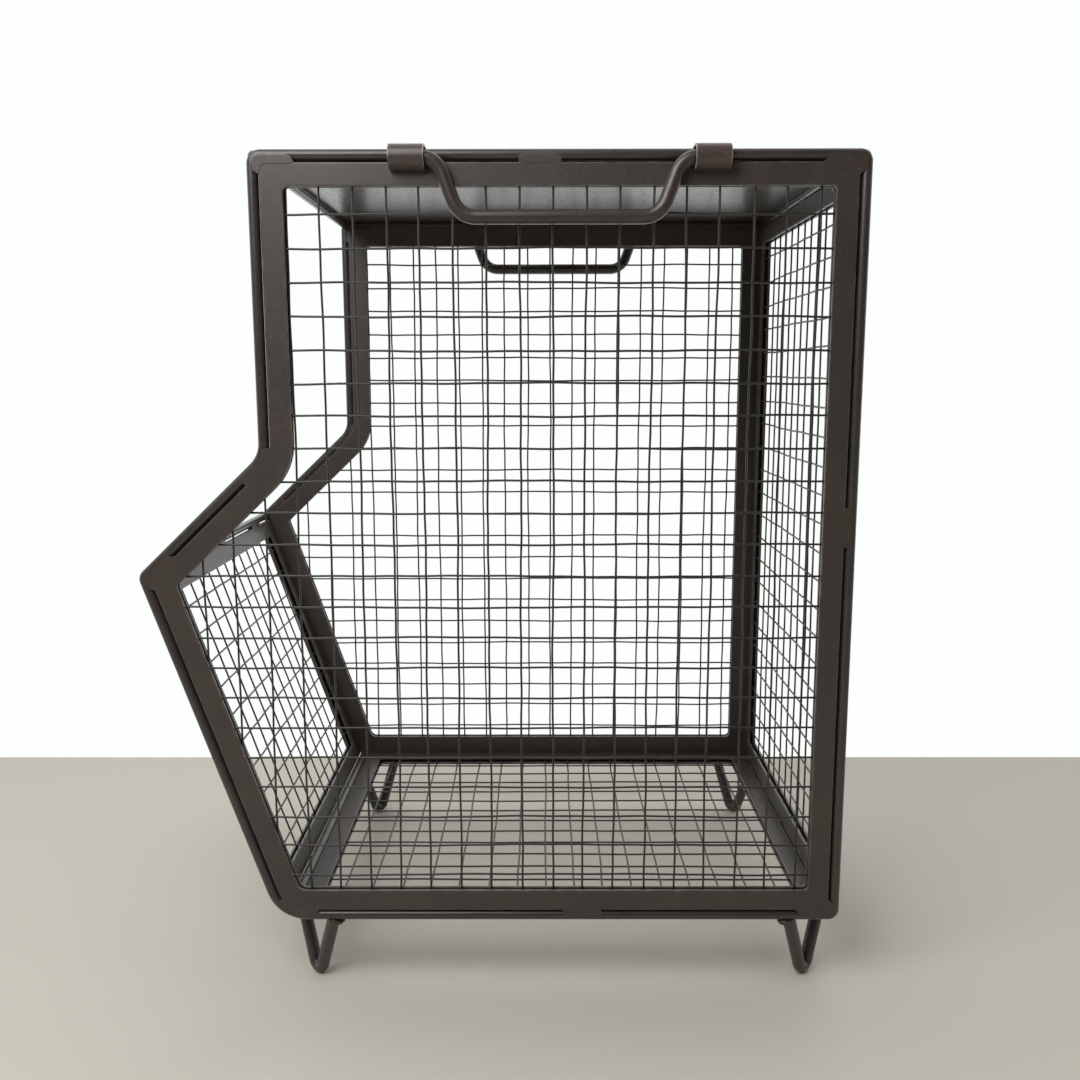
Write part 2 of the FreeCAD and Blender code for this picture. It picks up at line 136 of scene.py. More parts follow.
def inset(corners, distance):
    """Corners of a closed outline whose sides all move inwards by distance.  A corner moves by
    distance times the sum of its two sides' inward normals, over one plus their dot product."""
    arriving = unit(corners - np.roll(corners, 1, axis=0))
    leaving = unit(np.roll(corners, -1, axis=0) - corners)
    normal_in = np.stack([-arriving[:, 1], arriving[:, 0]], axis=1)
    normal_out = np.stack([-leaving[:, 1], leaving[:, 0]], axis=1)
    share = distance / (1 + (normal_in * normal_out).sum(axis=1, keepdims=True))
    return corners + share * (normal_in + normal_out)


def rounded(corners, radii, run_counts, arc_count):
    """Points round a closed outline.  Each corner is an arc of arc_count points about the point
    that lies radius / sin(half the corner's angle) along its bisector, and each side has
    run_counts points between two arcs."""
    back = unit(np.roll(corners, 1, axis=0) - corners)
    ahead = unit(np.roll(corners, -1, axis=0) - corners)
    half = np.arccos(np.clip((back * ahead).sum(axis=1), -1, 1)) / 2
    centres = corners + unit(back + ahead) * (radii / np.sin(half))[:, None]
    starts = corners + back * (radii / np.tan(half))[:, None] - centres
    ends = corners + ahead * (radii / np.tan(half))[:, None] - centres
    first = np.arctan2(starts[:, 1], starts[:, 0])
    turn = np.arctan2(ends[:, 1], ends[:, 0]) - first
    turn = (turn + np.pi) % (2 * np.pi) - np.pi
    points = []
    for index in range(len(corners)):
        angles = first[index] + turn[index] * np.linspace(0, 1, arc_count)
        arc = np.stack([np.cos(angles), np.sin(angles)], axis=1) * radii[index]
        points.append(centres[index] + arc)
        following = (index + 1) % len(corners)
        side_end = centres[following] + starts[following]
        shares = np.linspace(0, 1, run_counts[index] + 2)[1:-1, None]
        side_start = centres[index] + ends[index]
        points.append(side_start + (side_end - side_start) * shares)
    return np.concatenate(points)


def run_counts_for(corners, spacing):
    """How many points each side needs to have one about every spacing."""
    lengths = np.linalg.norm(np.roll(corners, -1, axis=0) - corners, axis=1)
    return np.maximum(1, (lengths / spacing).astype(int))


POINT_SPACING = 12 * MM
SIDE_RUNS = run_counts_for(side_corners, POINT_SPACING)


def side_loop(distance, arc_count=9):
    """The side outline, a distance inside its outer edge, as y and z."""
    radii = np.maximum(outer_radii - distance, TIGHTEST_RADIUS)
    radii[BEND] = outer_radii[BEND] + distance
    return rounded(inset(side_corners, distance), radii, SIDE_RUNS, arc_count)


lip_error = np.linalg.norm(inset(side_corners, ROD_RADIUS)[LIP] - middle("lip_rod"))
print(f"the outline's lip corner is {lip_error / MM:.3f} mm from the CAD lip rod")

# %% [markdown]
# ## From grids of points to pieces
#
# Every new piece is a grid of points.  Rows run along a path, and columns run round a profile.
# The faces of such a grid are always the same, so a single function makes them, closes the ends
# of an open run, and turns the surface outwards if its volume comes out negative.
#
# Each point also carries a number for its edges.  It is 1 where a profile turns a corner and 0 on
# flat faces, and the enamel uses it to thin the paint along edges.  On the straps it also places a
# painted highlight along the edges.

# %% Grid functions


def grid_faces(rows, columns, closed_rows):
    """Quads of a grid whose columns close on themselves, and whose rows may too."""
    row = np.arange(rows if closed_rows else rows - 1)[:, None]
    column = np.arange(columns)[None, :]
    next_row = (row + 1) % rows
    next_column = (column + 1) % columns
    corners = [row * columns + column, row * columns + next_column,
               next_row * columns + next_column, next_row * columns + column]
    return np.stack([corner + np.zeros_like(row * column) for corner in corners], axis=-1).reshape(-1, 4)


def volume_of(points, quads):
    """Signed volume inside quads: the sum of a . (b x c) / 6 over their triangles."""
    a, b, c, d = (points[quads[:, index]] for index in range(4))
    middle_pair = np.einsum("ij,ij->i", a, np.cross(b, c)) + np.einsum("ij,ij->i", a, np.cross(c, d))
    return middle_pair.sum() / 6


def skin(grids, closed_rows=False, edge_wear_and_highlight=None):
    """Points, faces and edge marks of surfaces that all have the same rows and columns: grids holds
    surfaces by rows by columns by x, y, z.  Open ends get a flat cap.  The edge marks hold one number
    for each column; they mark where paint thins and, on the straps, where a painted highlight goes."""
    count, rows, columns = grids.shape[:3]
    quads = grid_faces(rows, columns, closed_rows)
    caps = []
    if not closed_rows:
        caps = [np.arange(columns)[None, ::-1], np.arange(columns)[None] + (rows - 1) * columns]
    blocks = [quads] + caps
    first = grids[0].reshape(-1, 3)
    if volume_of(first - first.mean(axis=0), quads) < 0:
        blocks = [block[:, ::-1] for block in blocks]
    shift = (np.arange(count) * rows * columns)[:, None, None]
    blocks = [(block[None] + shift).reshape(-1, block.shape[1]) for block in blocks]
    column_wear_and_highlight = np.zeros(columns) if edge_wear_and_highlight is None else np.asarray(edge_wear_and_highlight, float)
    return grids.reshape(-1, 3), blocks, np.tile(column_wear_and_highlight, count * rows)


def join(skins):
    """Several surfaces as one, with their face numbers shifted."""
    sizes = [len(points) for points, _, _ in skins]
    shifts = np.cumsum([0] + sizes[:-1])
    faces = [block + shift for (_, blocks, _), shift in zip(skins, shifts) for block in blocks]
    return (np.concatenate([points for points, _, _ in skins]), faces,
            np.concatenate([edge_wear_and_highlight for _, _, edge_wear_and_highlight in skins]))


def make_piece(name, surface, material, body, stands_for=()):
    """A Blender object from a surface, riding on a CAD body and shown in place of CAD nodes."""
    points, blocks, edge_wear_and_highlight = surface
    mesh = bpy.data.meshes.new(name)
    mesh.from_pydata(points.tolist(), [], [face for block in blocks for face in block.tolist()])
    mesh.attributes.new("edge_wear_and_highlight", "FLOAT", "POINT").data.foreach_set("value", edge_wear_and_highlight.astype(np.float32))
    mesh.polygons.foreach_set("use_smooth", np.ones(len(mesh.polygons), bool))
    mesh.set_sharp_from_angle(angle=math.radians(50))
    mesh.materials.append(material)
    piece = bpy.data.objects.new(name, mesh)
    bpy.context.scene.collection.objects.link(piece)
    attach(piece, body)
    if stands_for:
        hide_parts(*stands_for)
    print(f"{name}: {len(points)} points, {len(mesh.polygons)} faces")
    return piece


ARC_POINTS = 4
FLAT_HOLD = 2.5


def circle(radius, count):
    """Profile of a round rod: radius times the cosine and sine of evenly spaced angles."""
    angles = np.linspace(0, 2 * np.pi, count, endpoint=False)
    return radius * np.stack([np.cos(angles), np.sin(angles)], axis=1)


def bar_profile(across, thick, radius):
    """Profile of a flat bar with rounded edges, and its edge marks for thin paint and, on the straps, a
    painted highlight.  A point on each flat, beside the rounded edge, keeps the shading of the flat face
    flat."""
    angles = np.linspace(0, np.pi / 2, ARC_POINTS)
    arc = radius * np.stack([np.cos(angles), np.sin(angles)], axis=1)
    corner = np.array([across / 2 - radius, thick / 2 - radius])
    hold = np.array([[across / 2 - FLAT_HOLD * radius, thick / 2]])
    quarter = np.concatenate([corner + arc, hold])
    mirrored = quarter[::-1] * [-1, 1]
    edge_wear_and_highlight = [1.0] * ARC_POINTS + [0.0, 0.0] + [1.0] * ARC_POINTS
    return np.concatenate([quarter, mirrored, -quarter, -mirrored]), np.array(edge_wear_and_highlight + edge_wear_and_highlight)


def carry(path, binormal, profile, scale=1.0):
    """Grid of a profile carried along a path that stays in one plane.  A point is path +
    binormal * a + (binormal x tangent) * b, where a and b are the profile's two coordinates."""
    tangent = unit(np.gradient(path, axis=-2))
    normal = unit(np.cross(binormal, tangent))
    scale = np.broadcast_to(scale, path.shape[:-1])[..., None, None]
    across = np.asarray(binormal) * profile[:, :1]
    outwards = normal[..., None, :] * profile[:, 1:]
    return path[..., None, :] + scale * (across + outwards)


# %% [markdown]
# ## The enamel
#
# The whole bin is low-carbon steel under sprayed alkyd enamel, a dark bronze brown with a satin
# gloss.  Sprayed enamel is never one flat colour.  It is a little thicker in some places, it has a
# fine orange-peel surface, it thins out along sharp edges, and it looks warmer where a weld was
# ground and touched up.  One function builds that, and each kind of stock gets its own version:
# thin wire takes a thinner, greyer coat than flat strip, and the welds are lumpier.
# The strap's version has a pale edge colour that is partly a painted highlight.

# %% Material helpers
GRAIN_MM = 2.2
PATCH_MM = 9.0
PEEL_MM = 1.6
SPECK_SHARE = 0.35
GLOSS_SPREAD = (-0.06, 0.12)
ENAMEL_IOR = 1.52
CLEAR_COAT = 0.25
CLEAR_COAT_ROUGHNESS = 0.22


def linear(hex_colour):
    """Linear colour from sRGB hex: below 0.04045 divide by 12.92, above it raise to 2.4."""
    channels = [int(hex_colour[index:index + 2], 16) / 255 for index in (1, 3, 5)]
    return tuple(c / 12.92 if c <= 0.04045 else ((c + 0.055) / 1.055) ** 2.4 for c in channels) + (1.0,)


def add_node(tree, kind, settings=(), values=(), links=()):
    """One shader node: settings are its own properties, values go into its inputs, and links
    join outputs of other nodes to its inputs."""
    node = tree.nodes.new(kind)
    for name, value in dict(settings).items():
        setattr(node, name, value)
    for name, value in dict(values).items():
        node.inputs[name].default_value = value
    for name, output in dict(links).items():
        tree.links.new(output, node.inputs[name])
    return node


def noise_of(tree, place, size_mm, detail=3.0):
    """Noise whose lumps are about size_mm across: its scale is in lumps per metre."""
    return add_node(tree, "ShaderNodeTexNoise",
                    values={"Scale": 1000 / size_mm, "Detail": detail, "Roughness": 0.55},
                    links={"Vector": place}).outputs["Fac"]


def ramp(tree, factor, low, high, low_value=0.0, high_value=1.0):
    """A number that goes evenly from low_value to high_value while the factor passes low to high."""
    return add_node(tree, "ShaderNodeMapRange",
                    values={"From Min": low, "From Max": high, "To Min": low_value,
                            "To Max": high_value},
                    links={"Value": factor}).outputs["Result"]


def blend_colours(tree, factor, first, second):
    """Mix of two colours: each is a colour value or another node's output."""
    mix = add_node(tree, "ShaderNodeMix", settings={"data_type": "RGBA"})
    tree.links.new(factor, mix.inputs["Factor"])
    for socket, colour in ((mix.inputs[6], first), (mix.inputs[7], second)):
        if isinstance(colour, tuple):
            socket.default_value = colour
        else:
            tree.links.new(colour, socket)
    return mix.outputs[2]


def bump(tree, height, depth_mm, below=None):
    """Bumps whose height is depth_mm times a factor, on top of another bump's surface."""
    links = {"Height": height} if below is None else {"Height": height, "Normal": below}
    return add_node(tree, "ShaderNodeBump", values={"Strength": 1.0, "Distance": depth_mm * MM},
                    links=links).outputs["Normal"]


def enamel(name, coat, warm, worn_and_highlight, gloss, cloud_mm=38.0, peel_depth=0.05, lump_mm=14.0,
           lump_depth=0.12):
    """Sprayed enamel on steel.  Its three colours are its main colour, the colour of its warmer clouds
    and the colour that shows where it is thin; on the strap that last colour is pale and also paints a
    highlight along the edges.  gloss is the roughness of its smooth parts."""
    material = bpy.data.materials.new(name)
    material.use_nodes = True
    tree = material.node_tree
    shader = tree.nodes["Principled BSDF"]
    place = add_node(tree, "ShaderNodeTexCoord").outputs["Object"]
    clouds = ramp(tree, noise_of(tree, place, cloud_mm), 0.40, 0.68)
    grain = noise_of(tree, place, GRAIN_MM, detail=5.0)
    coat_colour = blend_colours(tree, clouds, linear(coat), linear(warm))
    specks = ramp(tree, grain, 0.62, 0.80, 0.0, SPECK_SHARE)
    coat_colour = blend_colours(tree, specks, coat_colour, linear(worn_and_highlight))
    edge = add_node(tree, "ShaderNodeAttribute", settings={"attribute_name": "edge_wear_and_highlight"}).outputs["Fac"]
    patch = ramp(tree, noise_of(tree, place, PATCH_MM, detail=4.0), 0.38, 0.62)
    # Along edges the coat turns to its last colour: thin paint, and on the strap also a painted
    # highlight.
    thin_coat_and_highlight = add_node(tree, "ShaderNodeMath", settings={"operation": "MULTIPLY", "use_clamp": True},
                    links={0: edge, 1: patch}).outputs[0]
    tree.links.new(blend_colours(tree, thin_coat_and_highlight, coat_colour, linear(worn_and_highlight)), shader.inputs["Base Color"])
    smoothest, roughest = (gloss + spread for spread in GLOSS_SPREAD)
    tree.links.new(ramp(tree, grain, 0.3, 0.7, smoothest, roughest), shader.inputs["Roughness"])
    peel = bump(tree, noise_of(tree, place, PEEL_MM, detail=2.0), peel_depth)
    lumps = bump(tree, noise_of(tree, place, lump_mm), lump_depth, peel)
    tree.links.new(lumps, shader.inputs["Normal"])
    shader.inputs["IOR"].default_value = ENAMEL_IOR
    shader.inputs["Coat Weight"].default_value = CLEAR_COAT
    shader.inputs["Coat Roughness"].default_value = CLEAR_COAT_ROUGHNESS
    return material


# %% Finishes of the different kinds of stock
strip_enamel = enamel("satin_enamel_on_strip", "#39322e", "#433832", "#57504a", gloss=0.42)
rod_enamel = enamel("satin_enamel_on_rod", "#332e2c", "#3d3531", "#565049", gloss=0.32, peel_depth=0.03)
wire_enamel = enamel("thin_enamel_on_wire", "#231f1d", "#2c2623", "#413b36", gloss=0.46,
                     peel_depth=0.02, lump_depth=0.05)
sheet_enamel = enamel("satin_enamel_on_sheet", "#353230", "#3b3532", "#57514b", gloss=0.30,
                      cloud_mm=70.0, lump_mm=45.0, lump_depth=0.5)
ground_enamel = enamel("enamel_over_ground_weld", "#3a312d", "#44372f", "#5a4f47", gloss=0.43,
                       cloud_mm=9.0, lump_mm=6.0, lump_depth=0.12)
weld_enamel = enamel("enamel_over_rough_weld", "#332b27", "#453830", "#5b4f46", gloss=0.36,
                     cloud_mm=9.0, lump_mm=3.0, lump_depth=0.35)
# The strap's edge colour is pale: thin paint along the edges plus a painted highlight where they catch
# the floor's light.
strap_enamel_with_painted_highlight = enamel("satin_enamel_on_strap_with_painted_highlight", "#3f332e", "#493a33", "#a39b90", gloss=0.38)
handle_enamel = enamel("rubbed_enamel_on_handle", "#312925", "#3f342e", "#655a51", gloss=0.34,
                       cloud_mm=22.0, peel_depth=0.04)

# %% [markdown]
# ## Planes to build in
#
# The two sides, the back, the floor and the slanted scoop are all flat panels.  Each gets a plane:
# an origin, two directions in the panel and one across it.  Then every panel can be worked out in
# the same flat coordinates u, v and w, and lifted into place at the end.  In a side's plane u is
# the bin's y, v is its z and w is the distance out from its middle.  In the other panels u runs
# across the bin, v goes from one cross rod to the next and w points into the bin.
#
# A panel stops a slot's width short of its rods, except at the lower front rod, which the floor
# and the scoop share.  Their strips close in on it until they almost touch.

# %% The five planes
X_AXIS, Y_AXIS, Z_AXIS = np.eye(3)


def lift(plane, u, v, w):
    """Points of a plane in the bin's frame: origin + u U + v V + w W."""
    origin, along_u, along_v, along_w = plane
    u, v, w = np.broadcast_arrays(u, v, w)
    return origin + u[..., None] * along_u + v[..., None] * along_v + w[..., None] * along_w


def panel_plane(start, end):
    """Plane of a panel that runs between two points given as y and z, and its length."""
    along = np.array([0.0, *(end - start)])
    length = np.linalg.norm(along)
    along = along / length
    return (np.array([0.0, *start]), X_AXIS, along, np.cross(X_AXIS, along)), length


side_planes = {"right": (np.zeros(3), Y_AXIS, Z_AXIS, X_AXIS),
               "left": (np.zeros(3), Y_AXIS, Z_AXIS, -X_AXIS)}
rod_line = inset(side_corners, ROD_RADIUS)
toe_rod = middle("bottom_front_rod")
slope = unit(rod_line[TOE] - rod_line[LIP])
scoop_end = rod_line[LIP] + slope * np.dot(slope, toe_rod - rod_line[LIP])
ROD_EDGE = STRIP_EDGE - ROD_RADIUS
TOE_EDGE = ROD_RADIUS + TOE_GAP
rod_above = np.linalg.norm(toe_rod - scoop_end) - 2 * (STRIP_THICK + 2 * WIRE_RADIUS) + ROD_RADIUS
SCOOP_EDGE = math.sqrt(max(TOE_EDGE ** 2 - rod_above ** 2, 0))
panels = {}
for name, start, end, near_edge, far_edge in (
        ("floor", np.array([toe_rod[0], heel_rod[1]]), heel_rod, TOE_EDGE, ROD_EDGE),
        ("back", heel_rod, crown_rod, ROD_EDGE, ROD_EDGE),
        ("scoop", rod_line[LIP], scoop_end, ROD_EDGE, SCOOP_EDGE)):
    plane, length = panel_plane(start, end)
    panels[name] = {"plane": plane, "low": near_edge, "high": length - far_edge,
                    "half": HALF_WIDTH - STRIP_EDGE}
    print(f"{name} panel: {2 * panels[name]['half'] / MM:.0f} x "
          f"{(length - near_edge - far_edge) / MM:.0f} mm")

# %% [markdown]
# ## Flat strip frames
#
# Each strip frame is hot-rolled flat, 13 by 2 mm, cut, mitred and welded into a ring, so its edges
# are slightly round and it is never perfectly flat.  Every panel has two, one on each face of the
# mesh, and the pair is as thick as the rod around it.  The inner one of a side is a little wider
# and almost touches the rod, and the enamel bridges what is left of that gap.  So no daylight
# comes through the slot, and it reads as a dark line.
#
# Bevelling a CAD solid would be the quick way, but its loose triangles bevel badly.  Here a rounded
# bar profile is carried round the outline.  Every column of the grid runs at its own distance
# inside the outline, which keeps sharp corners clean where a plain sweep would fold over itself.

# %% Strip frames
OUTER_DEPTH = STRIP_THICK / 2 - ROD_RADIUS
INNER_DEPTH = OUTER_DEPTH + STRIP_THICK + 4 * WIRE_RADIUS
PAINT_BRIDGE = 0.57 * MM
STRIP_ROUND = 0.4 * MM
STRIP_RIPPLE = 0.12 * MM
RIPPLE_LENGTHS = np.array([83.0, 127.0, 191.0]) * MM


def ripple(points):
    """A gentle unevenness: STRIP_RIPPLE times the mean of three sines, each of the place along its
    own slanted direction."""
    x, y, z = np.moveaxis(points, -1, 0)
    places = np.stack([y + 0.6 * x, z - 0.4 * y, x + z], axis=-1)
    return STRIP_RIPPLE * np.sin(2 * np.pi * places / RIPPLE_LENGTHS).mean(axis=-1)


def ring_of(loop_at, distances, plane, depths):
    """Grid of a bar that follows an outline: column k runs at distance k inside it, depth k out."""
    loops = np.stack([loop_at(distance) for distance in distances], axis=1)
    return lift(plane, loops[..., 0], loops[..., 1], depths[None, :])


def strip_ring(loop_at, outer_edge, inner_edge, plane, depth):
    """Surface of one strip frame, between two distances inside its outline."""
    profile, edge_wear_and_highlight = bar_profile(inner_edge - outer_edge, STRIP_THICK, STRIP_ROUND)
    middle_line = (outer_edge + inner_edge) / 2
    grid = ring_of(loop_at, middle_line + profile[:, 0], plane, depth + profile[:, 1])
    grid += ripple(grid)[..., None] * plane[3]
    return skin(grid[None], closed_rows=True, edge_wear_and_highlight=edge_wear_and_highlight)


def rectangle_loop(panel):
    """A function that gives a panel's outline at a distance inside it, as u and v."""
    corners = np.array([[-panel["half"], panel["low"]], [panel["half"], panel["low"]],
                        [panel["half"], panel["high"]], [-panel["half"], panel["high"]]])
    runs = run_counts_for(corners, POINT_SPACING)
    radii = np.full(len(corners), TIGHTEST_RADIUS)
    return lambda distance: rounded(inset(corners, distance), radii, runs, 5)


for side, plane in side_planes.items():
    for layer, edge in (("outer", STRIP_EDGE), ("inner", INNER_EDGE - PAINT_BRIDGE)):
        low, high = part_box(f"right_{layer}_strip")
        surface = strip_ring(side_loop, edge, OPENING_EDGE, plane, (low.x + high.x) / 2)
        node = f"{side}_{layer}_strip"
        make_piece(f"{node}_bar", surface, strip_enamel, "frame", [node])

for name, panel in panels.items():
    for layer, depth in (("outer", OUTER_DEPTH), ("inner", INNER_DEPTH)):
        surface = strip_ring(rectangle_loop(panel), 0.0, STRIP_WIDTH, panel["plane"], depth)
        node = f"{name}_{layer}_strip"
        make_piece(f"{node}_bar", surface, strip_enamel, "frame", [node])

# %% [markdown]
# ## Wire mesh
#
# The mesh is 1.3 mm wire welded at every crossing, 19.05 mm (three quarters of an inch) apart.
# In real welded mesh no wire is straight.  Each one wanders half a millimetre as it was fed to the
# welder, and the finished sheet is a little dished.  A texture can't do this, because daylight
# shows through, so each wire is a thin tube whose middle line follows a sum of three sine waves
# with its own phases.  The wires of both directions read the same dishing, so they stay in touch,
# and each crossing gets a small nugget where the two wires melted together.

# %% Wandering wires
PITCH = 19.05 * MM
WIRE_END_GAP = 2.5 * MM
BACK_MARGIN = 7.5 * MM
FLOOR_MARGIN = 9.8 * MM
CROSSING_SINK = 0.12 * MM
WANDER_LENGTHS = np.array([310.0, 118.0, 41.0]) * MM
WANDER_HEIGHTS = np.array([0.30, 0.20, 0.12]) * MM
WANDER_SHIFT = 0.25 * MM
DISHING = 0.45 * MM
LONG_DISH = np.array([60.0, 75.0]) * MM
SHORT_DISH = np.array([27.0, 34.0]) * MM
SHORT_DISH_SHARE = 0.25
WIRE_SAMPLES = 72
WIRE_SIDES = 8
NUGGET = np.array([0.85, 0.85, 0.765]) * MM


def wander(count, seed):
    """How far each of count wires strays at a place along it: the sum of heights times the sine of
    2 pi place / length + phase, with lengths stretched at random, plus a small steady shift."""
    random = np.random.default_rng(seed)
    phases = random.uniform(0, 2 * np.pi, (count, len(WANDER_LENGTHS)))
    lengths = WANDER_LENGTHS * random.uniform(0.75, 1.3, (count, len(WANDER_LENGTHS)))
    shifts = random.normal(0, WANDER_SHIFT, count)

    def stray(wire, place):
        angle = 2 * np.pi * place[..., None] / lengths[wire] + phases[wire]
        return shifts[wire] + (WANDER_HEIGHTS * np.sin(angle)).sum(axis=-1)

    return stray


def wires(places, starts, ends, along_u, depth, seed):
    """A family of side-by-side wires: where each lies, where it starts and ends, and its depth."""
    places = np.asarray(places, float)
    return {"places": places, "starts": np.broadcast_to(starts, places.shape),
            "ends": np.broadcast_to(ends, places.shape), "along_u": along_u, "depth": depth,
            "stray": wander(len(places), seed)}


def wire_skin(family, plane, dish):
    """Surface of a family's wires: round tubes about their wandering middle lines."""
    shares = np.linspace(0, 1, WIRE_SAMPLES)
    run = family["starts"][:, None] + (family["ends"] - family["starts"])[:, None] * shares
    index = np.arange(len(run))[:, None]
    beside = family["places"][:, None] + family["stray"](index, run)
    u, v = (run, beside) if family["along_u"] else (beside, run)
    ring = circle(WIRE_RADIUS, WIRE_SIDES)
    middle_line = lift(plane, u, v, family["depth"] + dish(u, v))
    sideways = plane[2] if family["along_u"] else plane[1]
    return skin(middle_line[..., None, :] + ring[:, :1] * sideways + ring[:, 1:] * plane[3])


def ball(rows=4, columns=6):
    """Points and faces of a small closed ball: rings of a sphere between two poles."""
    tilt = np.pi * np.arange(1, rows)[:, None] / rows
    turn = 2 * np.pi * np.arange(columns)[None, :] / columns
    rings = np.stack([np.sin(tilt) * np.cos(turn), np.sin(tilt) * np.sin(turn),
                      np.cos(tilt) + 0 * turn], axis=-1).reshape(-1, 3)
    points = np.concatenate([rings, [[0, 0, 1.0], [0, 0, -1.0]]])
    top, bottom = len(rings), len(rings) + 1
    column = np.arange(columns)
    following = (column + 1) % columns
    last = (rows - 2) * columns
    fans = np.concatenate([np.stack([np.full(columns, top), column, following], axis=1),
                           np.stack([np.full(columns, bottom), last + following, last + column], axis=1)])
    quads = grid_faces(rows - 1, columns, closed_rows=False)[:, ::-1]
    return points, quads, fans


def balls(centres, directions, half_sizes, shape=ball()):
    """Surface of many small balls stretched to their half sizes along three directions.  Faces are
    turned round where the directions are a mirror image of x, y and z."""
    points, quads, fans = shape
    half_sizes = np.broadcast_to(half_sizes, centres.shape)
    stretched = (points[None] * half_sizes[:, None]) @ np.asarray(directions)
    shift = (np.arange(len(centres)) * len(points))[:, None, None]
    order = 1 if np.linalg.det(directions) > 0 else -1
    blocks = [(block[None, :, ::order] + shift).reshape(-1, block.shape[1]) for block in (quads, fans)]
    return (centres[:, None] + stretched).reshape(-1, 3), blocks, np.zeros(len(centres) * len(points))


def crossing_skin(level, upright, plane, dish):
    """Nuggets where two families cross.  level runs along u and upright along v."""
    j, i = np.meshgrid(np.arange(len(level["places"])), np.arange(len(upright["places"])), indexing="ij")
    u, v = upright["places"][i], level["places"][j]
    inside = (u > level["starts"][j]) & (u < level["ends"][j])
    inside &= (v > upright["starts"][i]) & (v < upright["ends"][i])
    i, j, u, v = i[inside], j[inside], u[inside], v[inside]
    u = u + upright["stray"](i, v)
    v = v + level["stray"](j, u)
    depth = (level["depth"] + upright["depth"]) / 2
    centres = lift(plane, u, v, depth + dish(u, v))
    return balls(centres, plane[1:], NUGGET)


def make_mesh(name, level, upright, plane, seed):
    """One mesh piece: both families of wires and their crossings."""
    random = np.random.default_rng(seed)
    phase = random.uniform(0, 2 * np.pi, 4)

    def dish(u, v):
        """The sheet's dishing: a long wave each way and a shorter one across both."""
        long_waves = np.sin(u / LONG_DISH[0] + phase[0]) * np.sin(v / LONG_DISH[1] + phase[1])
        short_waves = np.sin((u + v) / SHORT_DISH[0] + phase[2])
        short_waves = short_waves * np.sin((u - v) / SHORT_DISH[1] + phase[3])
        return DISHING * ((1 - SHORT_DISH_SHARE) * long_waves + SHORT_DISH_SHARE * short_waves)

    surface = join([wire_skin(level, plane, dish), wire_skin(upright, plane, dish),
                    crossing_skin(level, upright, plane, dish)])
    return make_piece(f"{name}_wires", surface, wire_enamel, "frame", [f"{name}_mesh"])


# %% Side meshes
end_corners = inset(side_corners, STRIP_EDGE + WIRE_END_GAP)
front_order = [TOE, LIP, BEND, BROW]
level_z = np.arange(BASE_Z + OPENING_EDGE + FLOOR_MARGIN, TOP_Z - OPENING_EDGE, PITCH)
level_start = np.interp(level_z, end_corners[front_order, 1], end_corners[front_order, 0])
upright_y = np.arange(BACK_Y - OPENING_EDGE - BACK_MARGIN, end_corners[LIP, 0], -PITCH)
upright_low = np.interp(upright_y, *end_corners[[LIP, TOE, HEEL]].T)
slant_top = np.interp(upright_y, *end_corners[[LIP, BEND]].T)
upright_high = np.where(upright_y >= end_corners[BEND, 0], end_corners[BROW, 1], slant_top)
long_enough = upright_high - upright_low > PITCH
upright_y, upright_low, upright_high = (values[long_enough] for values in
                                        (upright_y, upright_low, upright_high))
mesh_face = HALF_WIDTH - STRIP_THICK
for seed, (side, plane) in enumerate(side_planes.items(), start=11):
    level = wires(level_z, level_start, end_corners[HEEL, 0], True,
                  mesh_face - WIRE_RADIUS - CROSSING_SINK, seed)
    upright = wires(upright_y, upright_low, upright_high, False,
                    mesh_face - 3 * WIRE_RADIUS + CROSSING_SINK, seed + 100)
    make_mesh(side, level, upright, plane, seed)
print(f"{len(level_z)} level and {len(upright_y)} upright wires on each side")


# %% Panel meshes
def centred(opening):
    """Wire places across an opening, evenly about its middle."""
    count = int((opening - PITCH / 2) / PITCH) + 1
    return (np.arange(count) - (count - 1) / 2) * PITCH


for seed, (name, panel) in enumerate(panels.items(), start=31):
    low, high, half = panel["low"], panel["high"], panel["half"]
    long_depth = OUTER_DEPTH + STRIP_THICK / 2 + WIRE_RADIUS
    cross_depth = long_depth + 2 * WIRE_RADIUS
    level = wires((low + high) / 2 + centred(high - low - 2 * STRIP_WIDTH), WIRE_END_GAP - half,
                  half - WIRE_END_GAP, True, cross_depth - CROSSING_SINK, seed)
    upright = wires(centred(2 * (half - STRIP_WIDTH)), low + WIRE_END_GAP, high - WIRE_END_GAP, False,
                    long_depth + CROSSING_SINK, seed + 100)
    make_mesh(name, level, upright, panel["plane"], seed)

# %% [markdown]
# ## Welds
#
# Short gas-shielded arc welds bridge the slot between rod and strip, round every corner and once
# in the middle of each long side.  Outside they were ground flush, so a weld shows as a place
# where the slot simply stops.  Inside nobody ground them, and a few lumps and drops of spatter
# stay.  A ground weld is therefore a bar that follows the outline from the top of the rod to just
# over the strip's edge, level with both.  It reaches 20 mm along a corner's level or slanted side
# and 6.5 mm along the other.  The left frame's top slot is closed from end to end.

# %% Weld helpers
WELD_STEP = 1.5 * MM
LONG_REACH = 20.0 * MM
SHORT_REACH = 6.5 * MM
HALF_WELD = 12.0 * MM
SIDE_WELD_PLACE = 0.54
WELD_PROUD = 0.04 * MM
WELD_ROUND = 0.5 * MM
WELD_END = 0.55
LUMPS_PER_SPOT = 5


def tapered(count, random):
    """Sizes along a weld: full in the middle, WELD_END at both ends, and slightly uneven."""
    share = np.linspace(-1, 1, count)
    return (WELD_END + (1 - WELD_END) * (1 - share ** 8)) * random.uniform(0.96, 1.0, count)


